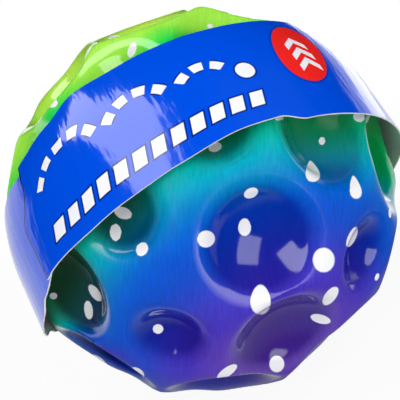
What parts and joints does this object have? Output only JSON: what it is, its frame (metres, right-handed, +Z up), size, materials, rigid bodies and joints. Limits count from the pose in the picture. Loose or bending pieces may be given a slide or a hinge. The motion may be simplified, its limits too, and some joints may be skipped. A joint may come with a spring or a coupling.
{
  "type": "foam ball",
  "caption": "Hand-sized foam bouncing ball with bowl-shaped craters of two sizes all over its glossy printed skin, wearing a lapped paper band that pulls off.",
  "frame": {"origin": "bottom centre of the whole object's box, on the surface that the ball stands on", "axes": "+Z up; the picture looks along +Y from a little above; the band's axis leans 40 degrees from +Z, away from the viewer"},
  "size_m": [0.072, 0.069, 0.066],
  "materials": {
    "foam": "matte springy foam",
    "green_print": "glossy printed skin, yellow-green to green with white spots",
    "blue_print": "glossy printed skin, teal to blue to purple with white spots",
    "coated_paper": "glossy coated paper, printed blue",
    "adhesive": "pale dried adhesive"
  },
  "bodies": {
    "ball": {"foam_core": "foam", "upper_skin": "green_print", "lower_skin": "blue_print"},
    "sleeve": {"band": "coated_paper", "lap_glue": "adhesive"}
  },
  "joints": [
    {"name": "band_lift", "type": "slide", "parent": "ball", "child": "sleeve", "axis": [-0.1664, 0.6209, 0.766], "range_m": [0, 0.046]}
  ]
}
